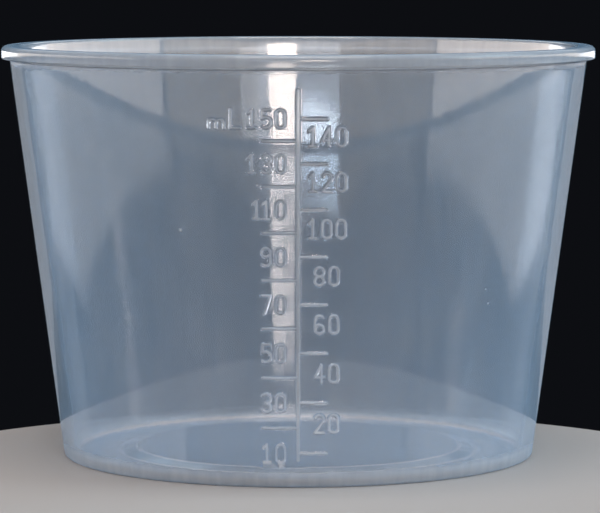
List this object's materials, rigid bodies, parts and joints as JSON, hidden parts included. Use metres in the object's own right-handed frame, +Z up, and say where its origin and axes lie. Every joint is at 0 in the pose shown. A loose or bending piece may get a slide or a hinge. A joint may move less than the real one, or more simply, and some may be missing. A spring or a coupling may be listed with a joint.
{
  "type": "graduated measuring cup",
  "caption": "Squat tapered translucent measuring cup with a flanged rim, a stepped floor and a raised millilitre scale on its front.",
  "frame": {"origin": "on the surface the cup stands on, at the cup's centre", "axes": "+Z up along the cup's axis, -Y towards the scale, +X to the right of a reader facing the scale"},
  "size_m": [0.078, 0.078, 0.054],
  "materials": {
    "natural_polypropylene": "clear natural polypropylene, milky and translucent, smooth with a soft gloss and fine moulding streaks"
  },
  "bodies": {
    "root": {"floor_panel": "natural_polypropylene", "floor_ring": "natural_polypropylene", "floor_step": "natural_polypropylene", "foot_ring": "natural_polypropylene", "numeral_010": "natural_polypropylene", "numeral_020": "natural_polypropylene", "numeral_030": "natural_polypropylene", "numeral_040": "natural_polypropylene", "numeral_050": "natural_polypropylene", "numeral_060": "natural_polypropylene", "numeral_070": "natural_polypropylene", "numeral_080": "natural_polypropylene", "numeral_090": "natural_polypropylene", "numeral_100": "natural_polypropylene", "numeral_110": "natural_polypropylene", "numeral_120": "natural_polypropylene", "numeral_130": "natural_polypropylene", "numeral_140": "natural_polypropylene", "numeral_150": "natural_polypropylene", "rim_lip": "natural_polypropylene", "scale_line": "natural_polypropylene", "tapered_wall": "natural_polypropylene", "tick_010": "natural_polypropylene", "tick_020": "natural_polypropylene", "tick_030": "natural_polypropylene", "tick_040": "natural_polypropylene", "tick_050": "natural_polypropylene", "tick_060": "natural_polypropylene", "tick_070": "natural_polypropylene", "tick_080": "natural_polypropylene", "tick_090": "natural_polypropylene", "tick_100": "natural_polypropylene", "tick_110": "natural_polypropylene", "tick_120": "natural_polypropylene", "tick_130": "natural_polypropylene", "tick_140": "natural_polypropylene", "tick_150": "natural_polypropylene", "unit_mark": "natural_polypropylene"}
  },
  "joints": []
}
